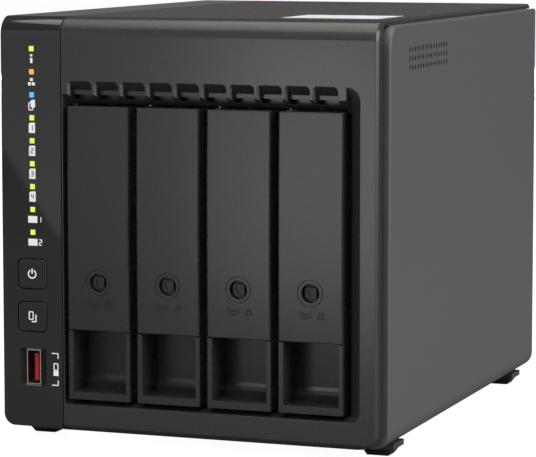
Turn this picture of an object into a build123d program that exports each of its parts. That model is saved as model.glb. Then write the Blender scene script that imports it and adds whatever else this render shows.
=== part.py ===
from build123d import *
import math
import os

# A four-bay network attached storage box, in millimetres.
# X runs to the right of someone facing the front, Y runs from front to back and Z runs up.
# The origin is the middle of the footprint, on the surface that the feet stand on.

# Driving dimensions: the whole box, and how far the tray handles bulge out of its flat front
WIDTH = 160.0
DEPTH = 220.4
HEIGHT = 169.0
HANDLE_BOW = 0.7
RIGHT = WIDTH / 2
LEFT = -RIGHT
REAR = DEPTH / 2
FRONT = HANDLE_BOW - REAR

# Driving dimensions: the drive bays and their trays
BAY_COUNT = 4
BAY_PITCH = 29.54
BAY_LEFT = -51.43
TRAY_WIDTH = 26.2
TRAY_BOTTOM = 17.5
TRAY_TOP = 134.0
SEAM_HEIGHT = 45.3

# Outer shells
STRIP_RIGHT = -54.3
STRIP_BOTTOM = 5.3
SHELL_LEFT = -53.9
SHELL_RIGHT = 77.1
SHELL_BOTTOM = 5.7
LOWER_CORNER_RADIUS = 4.8
NOSE_RADIUS = 7.5
FRONT_WALL = 3.0
TOP_WALL = 2.0
RIM_DEPTH = 5.2
RIM_WALL = 2.5
EDGE_CHAMFER = 0.9
GAP = 0.3

# The recess in the front shell that the trays sit in
RECESS_BACK = FRONT + 6.0
RECESS_OUTER_X = (-53.4, 70.1)
RECESS_OUTER_Z = (15.1, 143.8)
RECESS_INNER_X = (-53.4, 64.6)
RECESS_INNER_Z = (16.2, 134.9)
SURROUND_BACK = -98.5
MOUTH_RADII = (0.5, 4.0, 5.5, 0.5)
THROAT_RADII = (0.5, 1.5, 2.8, 0.5)

# The intake notches along the top of the recess
NOTCH_COUNT = 10
NOTCH_PITCH = 11.35
NOTCH_FIRST_RIGHT = -40.95
NOTCH_WIDTH = 9.5
NOTCH_TOP = 143.9
NOTCH_FLOOR = 136.2
NOTCH_SLOT = (0.5, 2.3)
BAFFLE = ((-53.0, 68.0), (-101.2, -100.0), (136.0, 148.0))
BAND_RIGHT = 64.5

# Side panels
PANEL_WALL = 1.3
PANEL_FLANGE = 8.0
PANEL_FRONT = -103.1
PANEL_REAR = REAR - 0.2
PANEL_Z = (4.0, 166.9)
PANEL_LOWER_BEND = 6.5
PANEL_EDGE_BEND = 1.0
PANEL_TOP_CORNER = 9.0
VENT_ROWS = 3
VENT_COLUMNS = 15
VENT_FIRST_Y = -78.6
VENT_PITCH_Y = 3.53
VENT_FIRST_Z = 149.9
VENT_PITCH_Z = 3.53
VENT_SLOT = (1.3, 1.95)

# Front controls
CONTROL_X = -67.2
LED_COUNT = 9
LED_FIRST_Z = 156.3
LED_PITCH = 9.11
LED_X = -66.7
LED_SIZE = 2.0
BUTTON_SIZE = (12.2, 11.8)
BUTTON_RADIUS = 2.0
BUTTON_HEIGHTS = {"power_button": 66.8, "copy_button": 49.6}
BUTTON_GAP = 0.35
USB_Z = 28.85
FRONT_USB_X = (-71.25, -65.1)
FRONT_USB_HEIGHT = 14.0
FRONT_USB_DEPTH = 2.9
USB_MOUTH_X = (-72.75, -61.2)
USB_MOUTH_Z = (21.7, 36.8)

# The sticker on top
LABEL_X = (30.4, 70.3)
LABEL_Y = (-89.0, -55.0)
LABEL_THICKNESS = 0.12

# Base and feet
BASE_Z = (4.0, 5.4)
BASE_X = RIGHT - PANEL_FLANGE - GAP
BASE_LIP_Y = (-78.0, 74.0)
FEET_MIDDLE_X = 1.0
FOOT_OUT = 70.9
FOOT_Y = (-88.8, 84.2)
PAD_HEIGHT = 2.8
BRACKET_TOP = 5.0
BRACKET_OUT = (63.5, 78.2)
BRACKET_Y = (-5.9, 7.2)
BOSS_OUT = 67.0
BOSS_RADIUS = 2.0
BOSS_HEAD_RADIUS = 3.2
BOSS_TOP = 6.8

# Tray mechanism
HINGE_Y = -106.0
HINGE_Z = 132.2
HINGE_PIN_RADIUS = 0.8
HINGE_CLEARANCE = 0.05
HINGE_LUG_RADIUS = 1.6
HANDLE_WALL = 1.6
HANDLE_BACK = -101.6
TRAY_FACE_Y = -100.4
POCKET_BACK = -93.3
LOCK_Z = 64.5
LOCK_BORE_RADIUS = 3.7
BOW_PEAK_Z = 78.0
BOW_AT_SEAM = 0.47

# Drives
DRIVE_LENGTH = 147.0
DRIVE_WIDTH = 101.6
DRIVE_HEIGHT = 26.1
DRIVE_FRONT = -90.5
DRIVE_REAR = DRIVE_FRONT + DRIVE_LENGTH

# Inner chassis
CAGE_WALL = 1.0
CAGE_X = (-53.4, 66.4)
CAGE_Z = (13.0, 139.0)
CAGE_Y = (-97.5, 66.0)
REAR_PANEL_Y = (106.3, 107.5)
BOARD_X = (-57.6, -56.0)
BACKPLANE_Y = (61.5, 63.1)
SCREW_HEAD_HEIGHT = 1.1

# Fan
FAN_SIZE = 120.0
FAN_DEPTH = 25.0
FAN_X = 8.0
FAN_Z = 86.0
FAN_FRONT = REAR_PANEL_Y[0] - FAN_DEPTH
FAN_BORE_RADIUS = 58.0
FAN_HUB_RADIUS = 20.0
FAN_BLADES = 7
FAN_HOLE_SPACING = 105.0

# Rear sockets, by height above the table
VIDEO_Z = (140.0, 122.0)
REAR_USB_Z = (104.5, 88.5, 72.5)
NETWORK_Z = (53.0, 35.0)
INLET_Z = 16.5
RESET_Z = 151.5
SECURITY_Z = 160.5


# ---- small helpers ----

def block(x, y, z):
    """A box between the low and high values of each axis."""
    middle = ((x[0] + x[1]) / 2, (y[0] + y[1]) / 2, (z[0] + z[1]) / 2)
    return Pos(*middle) * Box(x[1] - x[0], y[1] - y[0], z[1] - z[0])


def prism(plane, points, length):
    """A closed outline of points, drawn on a plane and pushed out along its normal."""
    outline = Polyline(*points, close=True)
    return extrude(plane * make_face(outline), length)


def prism_x(points, x):
    """An outline of (y, z) points between two x values."""
    return prism(Plane.YZ.offset(x[0]), points, x[1] - x[0])


def prism_y(points, y):
    """An outline of (x, z) points between two y values."""
    return prism(Plane.XZ.offset(-y[1]), points, y[1] - y[0])


def prism_z(points, z):
    """An outline of (x, y) points between two z values."""
    return prism(Plane.XY.offset(z[0]), points, z[1] - z[0])


def rounded_rectangle(u, v, radii):
    """A rectangle with its own radius at the low-low, high-low, high-high and low-high corner."""
    face = Pos((u[0] + u[1]) / 2, (v[0] + v[1]) / 2) * Rectangle(u[1] - u[0], v[1] - v[0])
    corners = ((u[0], v[0]), (u[1], v[0]), (u[1], v[1]), (u[0], v[1]))
    for corner, radius in zip(corners, radii):
        if radius > 0:
            place = Vector(*corner)
            face = fillet(min(face.vertices(), key=lambda v: (Vector(*v) - place).length), radius)
    return face


def plate_y(x, z, y, radii):
    """A plate that faces the front, with rounded corners seen from the front."""
    return extrude(Plane.XZ.offset(-y[1]) * rounded_rectangle(x, z, radii), y[1] - y[0])


def plate_x(y, z, x, radii):
    """A plate that faces the side, with rounded corners seen from the side."""
    return extrude(Plane.YZ.offset(x[0]) * rounded_rectangle(y, z, radii), x[1] - x[0])


def rod_y(x, z, radius, y):
    """A round bar along Y."""
    return extrude(Plane.XZ.offset(-y[1]) * (Pos(x, z) * Circle(radius)), y[1] - y[0])


def rod_x(y, z, radius, x):
    """A round bar along X."""
    return extrude(Plane.YZ.offset(x[0]) * (Pos(y, z) * Circle(radius)), x[1] - x[0])


def grown(span, margin):
    return (span[0] - margin, span[1] + margin)


def write(name, *solids):
    """Writes one node: one solid, or a group of separate solids of the same kind."""
    shape = solids[0] if len(solids) == 1 else Compound(children=list(solids))
    export_step(shape, f"parts/{name}.step")


# ---- outer shells ----

def nose_profile(bottom, front_wall, top_wall, rear):
    """The side view of a skin that goes up the front, round the nose and back over the top."""
    bend = (FRONT + NOSE_RADIUS, HEIGHT - NOSE_RADIUS)
    slant = NOSE_RADIUS * math.sqrt(0.5)
    inner_y = NOSE_RADIUS - front_wall
    inner_z = NOSE_RADIUS - top_wall
    outline = [
        Line((FRONT, bottom), (FRONT, bend[1])),
        ThreePointArc((FRONT, bend[1]), (bend[0] - slant, bend[1] + slant), (bend[0], HEIGHT)),
        Line((bend[0], HEIGHT), (rear, HEIGHT)),
        Line((rear, HEIGHT), (rear, HEIGHT - top_wall)),
        Line((rear, HEIGHT - top_wall), (bend[0], HEIGHT - top_wall)),
        ThreePointArc(
            (bend[0], HEIGHT - top_wall),
            (bend[0] - inner_y * math.sqrt(0.5), bend[1] + inner_z * math.sqrt(0.5)),
            (FRONT + front_wall, bend[1]),
        ),
        Line((FRONT + front_wall, bend[1]), (FRONT + front_wall, bottom)),
        Line((FRONT + front_wall, bottom), (FRONT, bottom)),
    ]
    return make_face(Wire(outline))


def corner_cutter(corner_x, corner_z, radius, y):
    """What is outside a rounded bottom corner, ready to be cut away."""
    inward_x = -math.copysign(radius, corner_x)
    margin = -inward_x / radius
    square = block(
        sorted((corner_x + margin, corner_x + inward_x)), y, (corner_z - 1, corner_z + radius)
    )
    return square - rod_y(corner_x + inward_x, corner_z + radius, radius, y)


def recess_cutter():
    """The bay opening: sides that slope inwards, then a straight hole."""
    mouth = Plane.XZ.offset(-FRONT) * rounded_rectangle(RECESS_OUTER_X, RECESS_OUTER_Z, MOUTH_RADII)
    throat = Plane.XZ.offset(-RECESS_BACK) * rounded_rectangle(
        RECESS_INNER_X, RECESS_INNER_Z, THROAT_RADII
    )
    slope = loft([mouth, throat], ruled=True)
    hole = plate_y(RECESS_INNER_X, RECESS_INNER_Z, (RECESS_BACK, SURROUND_BACK + 1), THROAT_RADII)
    return slope + hole


def notch_cutter(right):
    """One intake notch: a rounded scoop with a sloping ceiling and a slot at its back."""
    left = right - NOTCH_WIDTH
    outline = plate_y((left, right), (NOTCH_FLOOR, NOTCH_TOP), (FRONT - 1.5, FRONT + 8), (0, 0, 2.2, 0.6))
    scoop = prism_x(
        [
            (FRONT - 1.5, NOTCH_TOP + 1.4),
            (FRONT + 3.9, NOTCH_TOP - 3.7),
            (FRONT + 3.9, NOTCH_FLOOR + NOTCH_SLOT[1]),
            (FRONT + 8.0, NOTCH_FLOOR + NOTCH_SLOT[1]),
            (FRONT + 8.0, NOTCH_FLOOR + NOTCH_SLOT[0]),
            (FRONT + 2.6, NOTCH_FLOOR + NOTCH_SLOT[0]),
            (FRONT + 2.2, NOTCH_FLOOR),
            (FRONT - 1.5, NOTCH_FLOOR),
        ],
        (left - 1, right + 1),
    )
    eased_edge = prism_z(
        [(left - 0.9, FRONT - 0.1), (left + 0.5, FRONT - 0.1), (left + 0.5, FRONT + 1.9)],
        (NOTCH_FLOOR + 0.6, NOTCH_TOP - 0.8),
    )
    return (outline & scoop) + eased_edge


def front_top_shell():
    shell = extrude(
        Plane.YZ.offset(SHELL_LEFT) * nose_profile(SHELL_BOTTOM, FRONT_WALL, TOP_WALL, REAR),
        SHELL_RIGHT - SHELL_LEFT,
    )
    shell += extrude(
        Plane.YZ.offset(SHELL_RIGHT - RIM_WALL)
        * nose_profile(SHELL_BOTTOM, RIM_DEPTH, TOP_WALL, FRONT + 2 * NOSE_RADIUS),
        RIM_WALL,
    )
    shell += block((SHELL_LEFT, SHELL_RIGHT), (FRONT + 1, FRONT + RIM_DEPTH), (SHELL_BOTTOM, SHELL_BOTTOM + 2))
    shell -= corner_cutter(SHELL_RIGHT, SHELL_BOTTOM, LOWER_CORNER_RADIUS, (FRONT - 1, FRONT + 8))
    edges = [
        edge
        for edge in shell.edges()
        if edge.center().X > SHELL_RIGHT - 6.4
        and (abs(edge.center().Y - FRONT) < 0.01 or edge.center().Z > HEIGHT - NOSE_RADIUS)
        and edge_is_outer(edge)
    ]
    shell = chamfer(edges, EDGE_CHAMFER)
    frame = block((SHELL_LEFT, 71.5), (FRONT + 1, RECESS_BACK), (12.0, 146.0))
    frame += block((SHELL_LEFT, 66.2), (FRONT + 1, SURROUND_BACK), (14.2, 136.5))
    frame += block((SHELL_LEFT - 1.6, SHELL_LEFT + 0.1), (FRONT + FRONT_WALL + GAP, SURROUND_BACK), (14.2, 136.5))
    shell += frame
    shell -= recess_cutter()
    shell += prism_x(
        [
            (FRONT, RECESS_OUTER_Z[1] + 0.2),
            (FRONT, RECESS_INNER_Z[1] + 3.8),
            (RECESS_BACK - 0.8, RECESS_INNER_Z[1]),
            (RECESS_BACK, RECESS_INNER_Z[1]),
            (RECESS_BACK, RECESS_OUTER_Z[1] + 0.2),
        ],
        (RECESS_OUTER_X[0] - 0.4, BAND_RIGHT),
    )
    for index in range(NOTCH_COUNT):
        shell -= notch_cutter(NOTCH_FIRST_RIGHT + index * NOTCH_PITCH)
    shell += block(*BAFFLE)
    return shell - label_plate(0.1)


def edge_is_outer(edge):
    """True for the edges of the skin's outer face along its right-hand side."""
    middle = edge @ 0.5
    start = edge @ 0
    end = edge @ 1
    on_side = all(abs(p.X - SHELL_RIGHT) < 0.01 for p in (start, end, middle))
    on_corner = abs(middle.Y - FRONT) < 0.01 and middle.Z < SHELL_BOTTOM + 6 and edge.length > LOWER_CORNER_RADIUS
    on_skin = on_nose(start) and on_nose(end) and on_nose(middle)
    return on_skin and (on_side or on_corner)


def on_nose(point):
    """True where a point lies on the outer skin: the front, the nose or the top."""
    bend_y = FRONT + NOSE_RADIUS
    bend_z = HEIGHT - NOSE_RADIUS
    if point.Z <= bend_z:
        return abs(point.Y - FRONT) < 0.01
    if point.Y >= bend_y:
        return abs(point.Z - HEIGHT) < 0.01
    reach = math.hypot(point.Y - bend_y, point.Z - bend_z)
    return abs(reach - NOSE_RADIUS) < 0.01


def indicator_panel():
    """The gloss strip on the left: front face, nose and a band over the top."""
    panel = extrude(Plane.YZ.offset(LEFT) * nose_profile(STRIP_BOTTOM, 2.5, TOP_WALL, REAR), STRIP_RIGHT - LEFT)
    panel += block((LEFT, LEFT + 1.5), (FRONT + 1, PANEL_FRONT - GAP), (STRIP_BOTTOM, HEIGHT - NOSE_RADIUS))
    panel -= corner_cutter(LEFT, STRIP_BOTTOM, LOWER_CORNER_RADIUS, (FRONT - 1, FRONT + 8))
    for height in BUTTON_HEIGHTS.values():
        panel -= button_outline(BUTTON_GAP, height, (FRONT - 1, FRONT + 4))
    panel -= usb_recess()
    collar = block(grown(USB_MOUTH_X, 1.4), (FRONT + 2.3, FRONT + FRONT_USB_DEPTH + 1.7), grown(USB_MOUTH_Z, 1.3))
    panel += collar - usb_recess()
    for height in led_heights():
        panel -= led_window(height, 0.06)
    return panel


def button_outline(margin, height, y):
    """The outline of a front key, grown by a margin, between two y values."""
    half_width = BUTTON_SIZE[0] / 2 + margin
    half_height = BUTTON_SIZE[1] / 2 + margin
    x = (CONTROL_X - half_width, CONTROL_X + half_width)
    return plate_y(x, (height - half_height, height + half_height), y, (BUTTON_RADIUS + margin,) * 4)


def front_usb_span():
    """The low and high end of the front socket."""
    return (USB_Z - FRONT_USB_HEIGHT / 2, USB_Z + FRONT_USB_HEIGHT / 2)


def usb_recess():
    """A funnel whose four slopes lead in to the front USB socket, and the hole for the socket."""
    radii = (0.8,) * 4
    floor_y = FRONT + FRONT_USB_DEPTH
    socket_x = grown(FRONT_USB_X, 0.05)
    socket_z = grown(front_usb_span(), 0.05)
    mouth = Plane.XZ.offset(-FRONT + 0.01) * rounded_rectangle(USB_MOUTH_X, USB_MOUTH_Z, radii)
    floor = Plane.XZ.offset(-floor_y) * rounded_rectangle(grown(FRONT_USB_X, 0.1), grown(front_usb_span(), 0.1), radii)
    return loft([mouth, floor], ruled=True) + block(socket_x, (floor_y - 0.8, FRONT + 6), socket_z)


def led_heights():
    return [LED_FIRST_Z - index * LED_PITCH for index in range(LED_COUNT)]


def led_window(height, margin):
    half = LED_SIZE / 2 + margin
    return block((LED_X - half, LED_X + half), (FRONT - margin, -100.9), (height - half, height + half))


def panel_block(inset):
    """The space that the right-hand side panel takes up, or with an inset the space inside it."""
    x = (RIGHT - PANEL_FLANGE - inset, RIGHT - inset)
    y = (PANEL_FRONT + inset, PANEL_REAR + inset)
    z = (PANEL_Z[0] + inset, PANEL_Z[1] - inset)
    solid = plate_x(y, z, x, (0, 0, 0, PANEL_TOP_CORNER - inset))
    lower_edge = min(solid.edges().filter_by(Axis.Y), key=lambda e: e.center().Z - e.center().X)
    return fillet(lower_edge, PANEL_LOWER_BEND - inset)


def side_panel(side):
    """A steel side that folds in under the case and has a narrow flange round its other edges.

    side is 1 on the right and -1 on the left."""
    panel = panel_block(0)
    front_edges = [e for e in panel.edges() if is_panel_rim(e)]
    panel = fillet(front_edges, PANEL_EDGE_BEND)
    panel -= panel_block(PANEL_WALL)
    panel -= block((0, RIGHT - PANEL_WALL), (REAR_PANEL_Y[0] - GAP, REAR + 1), (PANEL_Z[1] - 4, HEIGHT))
    panel -= side_vents()
    return panel if side > 0 else mirror(panel, about=Plane.YZ)


def is_panel_rim(edge):
    """True for the outer edges of a side panel's front and top, and the bend between them."""
    middle = edge @ 0.5
    on_front = abs(middle.Y - PANEL_FRONT) < 0.01 and middle.X > RIGHT - PANEL_FLANGE + 0.1
    on_side = abs(middle.X - RIGHT) < 0.01 and middle.Y < PANEL_REAR - 1 and middle.Z > PANEL_Z[0] + 20
    return on_front and middle.Z < PANEL_Z[1] - 1 or on_side


def side_vents():
    width, height = VENT_SLOT
    x = (RIGHT - 3, RIGHT + 3)
    slots = []
    for row in range(VENT_ROWS):
        for column in range(VENT_COLUMNS):
            y = VENT_FIRST_Y + column * VENT_PITCH_Y
            z = VENT_FIRST_Z + row * VENT_PITCH_Z
            slot = plate_x(
                (y - width / 2, y + width / 2), (z - height / 2, z + height / 2), x, (width * 0.45,) * 4
            )
            slots.append(slot)
    return slots


def label_plate(margin):
    """The blank sticker on the top cover, or with a margin the shallow seat that it lies in."""
    z = (HEIGHT - LABEL_THICKNESS, HEIGHT + margin)
    return plate_z(grown(LABEL_X, margin), grown(LABEL_Y, margin), z, 1.5)


def plate_z(x, y, z, radius):
    """A flat plate with rounded corners seen from above."""
    return extrude(Plane.XY.offset(z[0]) * rounded_rectangle(x, y, (radius,) * 4), z[1] - z[0])


# ---- base and feet ----

def foot_corners():
    """The side (1 right, -1 left) and the middle y of each foot."""
    return [(side, middle) for middle in FOOT_Y for side in (-1, 1)]


def foot_x(side, outs):
    """A span of x that is measured outwards from the middle of the feet."""
    return tuple(sorted(FEET_MIDDLE_X + side * out for out in outs))


def base_plate():
    """The bottom pan, with a lip along each side, rows of air slots and a hole for each foot."""
    plate = plate_z((-BASE_X, BASE_X), (-105.0, REAR_PANEL_Y[0] - GAP), BASE_Z, 5.0)
    for x in ((-BASE_X, -BASE_X + 1.2), (BASE_X - 1.2, BASE_X)):
        plate += block(x, BASE_LIP_Y, (BASE_Z[0], 10.0))
    for side, middle in foot_corners():
        plate -= boss(side, middle, BOSS_RADIUS + GAP, (0, BASE_Z[1] + 1))
    for row in range(6):
        for column in range(9):
            x = -44.0 + column * 11.0
            y = -60.0 + row * 22.0
            plate -= plate_z((x - 3.0, x + 3.0), (y - 1.0, y + 1.0), (0, 8), 0.9)
    return plate


def boss(side, middle, radius, z):
    """A round upright post on the line where the feet are fastened."""
    return extrude(Plane.XY.offset(z[0]) * (Pos(FEET_MIDDLE_X + side * BOSS_OUT, middle) * Circle(radius)), z[1] - z[0])


def foot_bracket(side, middle):
    """The moulded base of one foot, with a stud that snaps through the base plate."""
    y = (middle + BRACKET_Y[0], middle + BRACKET_Y[1])
    bracket = block(foot_x(side, BRACKET_OUT), y, (PAD_HEIGHT, BASE_Z[0]))
    edge = block(foot_x(side, (BRACKET_OUT[1] - 5.0, BRACKET_OUT[1])), y, (PAD_HEIGHT, BRACKET_TOP))
    panel = extrude(panel_block(0).faces().sort_by(Axis.Y)[0], 2 * DEPTH, both=True)
    if side < 0:
        panel = mirror(panel, about=Plane.YZ)
    bracket += edge - panel
    bracket += boss(side, middle, BOSS_RADIUS, (PAD_HEIGHT, BOSS_TOP))
    return bracket + boss(side, middle, BOSS_HEAD_RADIUS, (BASE_Z[1], BOSS_TOP))


def rubber_foot(side, middle):
    """A tapered rubber pad below its bracket."""
    top = Plane.XY.offset(PAD_HEIGHT) * rounded_rectangle(
        foot_x(side, (65.0, 77.5)), (middle - 5.6, middle + 6.3), (1.0,) * 4
    )
    bottom = Plane.XY * rounded_rectangle(
        foot_x(side, (FOOT_OUT - 4.6, FOOT_OUT + 4.6)), (middle - 4.3, middle + 4.3), (1.0,) * 4
    )
    return loft([bottom, top], ruled=True)


# ---- inner chassis ----

def bay_left(index):
    return BAY_LEFT + index * BAY_PITCH


def drive_cage():
    """A steel box on two low walls, open at both ends, with a thin wall between neighbouring bays."""
    cage = block(CAGE_X, CAGE_Y, CAGE_Z)
    cage -= block(grown(CAGE_X, -CAGE_WALL), grown(CAGE_Y, 1), grown(CAGE_Z, -CAGE_WALL))
    for x in ((CAGE_X[0], CAGE_X[0] + CAGE_WALL), (CAGE_X[1] - CAGE_WALL, CAGE_X[1])):
        cage += block(x, (BASE_LIP_Y[0], CAGE_Y[1]), (BASE_Z[1], CAGE_Z[0] + 0.5))
    for index in range(1, BAY_COUNT):
        x = bay_left(index) - 1.25
        cage += block((x, x + 0.8), (CAGE_Y[0] + 4, 56.0), grown(CAGE_Z, -CAGE_WALL / 2))
    for x in CAGE_X:
        for row in range(5):
            for column in range(7):
                y = -75.0 + column * 20.0
                z = 32.0 + row * 22.0
                cage -= rod_x(y, z, 3.5, (x - 3, x + 3))
    slot_x = (CAGE_X[0] - 1, CAGE_X[0] + 2)
    return cage - block(slot_x, (59.0, 65.0), (40.0, 110.0))


def guide_rails():
    """A rail on the floor and one on the ceiling of each bay, which the trays run on."""
    rails = []
    for index in range(BAY_COUNT):
        middle = bay_left(index) + TRAY_WIDTH / 2
        x = (middle - 2.0, middle + 2.0)
        for z in ((CAGE_Z[0] + CAGE_WALL, TRAY_BOTTOM + 1.5), (TRAY_TOP - 1.5, CAGE_Z[1] - CAGE_WALL)):
            rails.append(plate_z(x, (-97.0, 55.0), z, 1.5))
    return rails


def rear_panel():
    """The steel back with its fan grille and a column of socket openings."""
    panel = plate_y((-78.4, 78.4), (5.6, 166.8), REAR_PANEL_Y, (5.2, 5.2, 0, 0))
    for x in ((-78.4, -77.4), (77.4, 78.4)):
        panel += block(x, (REAR_PANEL_Y[0] - 9, REAR_PANEL_Y[1]), (9.0, 163.0))
    cut = grown(REAR_PANEL_Y, 2)
    panel -= rod_y(FAN_X, FAN_Z, FAN_BORE_RADIUS - 1, cut)
    for x, z in fan_screw_places():
        panel -= rod_y(x, z, 2.2, cut)
    for x, z in case_screw_places():
        panel -= rod_y(x, z, 1.6, cut)
    for row in range(4):
        for column in range(17):
            z = 152.0 + row * 3.6
            x = -36.0 + column * 5.4
            panel -= rod_y(x, z, 1.2, cut)
    for height in VIDEO_Z:
        panel -= block((-64.2, -57.4), cut, (height - 8.0, height + 8.0))
    for height in REAR_USB_Z:
        panel -= block((-64.6, -57.4), cut, (height - 7.5, height + 7.5))
    for height in NETWORK_Z:
        panel -= block((-71.9, -57.4), cut, (height - 8.4, height + 8.4))
    panel -= rod_y(-63.4, INLET_Z, 5.4, cut)
    panel -= rod_y(-63.4, RESET_Z, 1.6, cut)
    return panel - plate_y((-67.0, -60.0), (SECURITY_Z - 1.5, SECURITY_Z + 1.5), cut, (0.6,) * 4)


def case_screw_places():
    return [(x, z) for x in (-71.5, 73.5) for z in (9.6, 86.0, 163.0) if (x, z) != (-71.5, 86.0)]


def fan_screw_places():
    half = FAN_HOLE_SPACING / 2
    return [(FAN_X + dx, FAN_Z + dz) for dx in (-half, half) for dz in (-half, half)]


def pan_screw(x, z, face_y, radius, head_radius, length):
    """A cross-head screw that points forwards from the rear face."""
    screw = rod_y(x, z, head_radius, (face_y, face_y + SCREW_HEAD_HEIGHT))
    screw = fillet(screw.faces().sort_by(Axis.Y)[-1].edges(), 0.5)
    screw += rod_y(x, z, radius, (face_y - length, face_y + 0.1))
    screw -= block((x - 1.3, x + 1.3), (face_y + 0.5, face_y + 2), (z - 0.3, z + 0.3))
    return screw - block((x - 0.3, x + 0.3), (face_y + 0.5, face_y + 2), (z - 1.3, z + 1.3))


# ---- boards ----

def mainboard():
    """The upright main circuit board, with the backplane's slot and the reset switch."""
    board = block(BOARD_X, (-96.0, 104.5), (14.0, 162.0))
    board += block((-66.4, BOARD_X[0]), (93.0, 99.5), (RESET_Z - 3.0, RESET_Z + 3.0))
    for y, z in board_hole_places():
        board -= rod_x(y, z, 1.7, grown(BOARD_X, 1))
    return board + block((-56.5, -54.2), (60.0, 64.6), (38.0, 112.0))


def board_hole_places():
    return [(y, z) for y in (-90.0, 96.0) for z in (20.0, 156.0)]


def board_standoffs():
    """Threaded pillars between the drive cage and the mainboard."""
    pillars = []
    for y in (-90.0, 55.0):
        for z in (20.0, 130.0):
            pillars.append(rod_x(y, z, 2.5, (BOARD_X[1], CAGE_X[0])))
    return pillars


def heat_sink():
    """A finned aluminium block on the processor."""
    y = (-15.0, 37.0)
    z = (66.0, 118.0)
    sink = block((-64.0, -60.5), y, z)
    for index in range(13):
        edge = z[0] + index * 4.2
        sink += block((-76.0, -63.5), y, (edge, edge + 1.2))
    return sink + block((-60.5, BOARD_X[0]), (3.0, 19.0), (84.0, 100.0))


def memory_modules():
    """Two memory cards in their slots."""
    modules = []
    for low in (66.0, 100.0):
        card = block((-62.2, -61.0), (-72.0, -42.0), (low - 18.0, low + 14.0))
        card += block((-63.4, -61.0), (-67.0, -47.0), (low - 15.0, low - 4.0))
        card += block((-63.4, -61.0), (-67.0, -47.0), (low, low + 11.0))
        modules.append(card + block((-63.0, BOARD_X[0]), (-42.5, -38.0), (low - 19.0, low + 15.0)))
    return modules


def ssd_modules():
    """Two solid-state cards, each standing off the mainboard at its connector and at its screw."""
    modules = []
    for low in (122.0, 36.0):
        card = block((-61.6, -60.8), (-32.0, 48.0), (low, low + 22.0))
        card += block((-62.8, -60.8), (-24.0, -8.0), (low + 3.0, low + 19.0))
        card += block((-62.8, -60.8), (2.0, 18.0), (low + 3.0, low + 19.0))
        card += block((-62.6, BOARD_X[0]), (48.0, 55.0), (low - 0.5, low + 22.5))
        card += rod_x(-30.0, low + 11.0, 2.2, (-61.0, BOARD_X[0]))
        modules.append(card)
    return modules


def backplane_board():
    """The upright board behind the drives, with air holes."""
    board = block((-51.6, 64.6), BACKPLANE_Y, (17.0, 135.0))
    board += block((-54.1, -51.0), BACKPLANE_Y, (46.0, 104.0))
    for index in range(BAY_COUNT):
        x = bay_left(index) + TRAY_WIDTH / 2
        for z in (30.0, 96.0, 108.0, 120.0):
            board -= plate_y((x - 7, x + 7), (z - 4, z + 4), grown(BACKPLANE_Y, 1), (2.0,) * 4)
    return board


def backplane_sockets():
    """One drive socket for each bay."""
    sockets = []
    for index in range(BAY_COUNT):
        x = bay_left(index) + 12.0
        socket = block((x - 4.0, x + 4.0), (DRIVE_REAR + 0.4, BACKPLANE_Y[0]), (40.0, 86.0))
        groove = block((x - 1.2, x + 1.2), (DRIVE_REAR, DRIVE_REAR + 3.0), (43.0, 83.0))
        sockets.append(socket - groove)
    return sockets


def indicator_board():
    """The small board behind the front strip that carries the lights and the key switches."""
    board = block((-77.0, -59.0), (-100.2, -98.8), (42.0, 160.0))
    for height in BUTTON_HEIGHTS.values():
        board += block((CONTROL_X - 3.0, CONTROL_X + 3.0), (-103.2, -100.0), (height - 3.0, height + 3.0))
    for height in led_heights():
        board += block((LED_X - 0.8, LED_X + 0.8), (-100.8, -100.0), (height - 0.8, height + 0.8))
    return board


def light_pipes():
    """Clear square bars that bring each light to the front face."""
    return [led_window(height, 0) for height in led_heights()]


def front_usb_shell():
    return usb_box(FRONT_USB_X, (FRONT + FRONT_USB_DEPTH, -92.0), front_usb_span())


def usb_box(x, y, z):
    """A folded metal tube: the walls of a USB socket, open at both ends."""
    return block(x, y, z) - block(grown(x, -0.4), grown(y, 1), grown(z, -0.4))


def front_usb_tongue():
    """The coloured tongue of the front socket with its contacts, and the block that carries it."""
    x = (-68.0, -66.4)
    tongue = block(x, (FRONT + 3.6, -92.5), (USB_Z - 5.4, USB_Z + 5.4))
    tongue += block(grown(FRONT_USB_X, -0.6), (-95.5, -92.5), (USB_Z - 6.4, USB_Z + 6.4))
    for step in range(5):
        z = USB_Z - 4.6 + step * 2.3
        tongue += block((x[1] - 0.1, x[1] + 0.15), (FRONT + 4.0, FRONT + 9.0), (z - 0.45, z + 0.45))
    return tongue


def front_usb_riser():
    return block((FRONT_USB_X[1], BOARD_X[0]), (-95.8, -92.2), (USB_Z - 6.0, USB_Z + 6.0))


def rear_usb_shells():
    return [usb_box((-64.3, -57.8), (93.0, 107.9), (z - 7.1, z + 7.1)) for z in REAR_USB_Z]


def rear_usb_tongues():
    tongues = []
    for height in REAR_USB_Z:
        tongue = block((-60.9, -59.1), (93.5, 107.4), (height - 5.4, height + 5.4))
        tongues.append(tongue + block((-63.8, -58.3), (93.5, 97.0), (height - 6.5, height + 6.5)))
    return tongues


def network_jacks():
    """Two network sockets, each with a keyed opening and eight contacts."""
    jacks = []
    for height in NETWORK_Z:
        jack = block((-71.5, BOARD_X[0]), (91.0, 108.0), (height - 8.0, height + 8.0))
        jack -= block((-68.6, -60.4), (95.0, 109.0), (height - 5.9, height + 5.9))
        jack -= block((-60.6, -59.0), (98.0, 109.0), (height - 3.0, height + 3.0))
        for step in range(8):
            z = height - 3.57 + step * 1.02
            jack += block((-68.7, -67.6), (95.0, 104.0), (z - 0.2, z + 0.2))
        jacks.append(jack)
    return jacks


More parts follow.
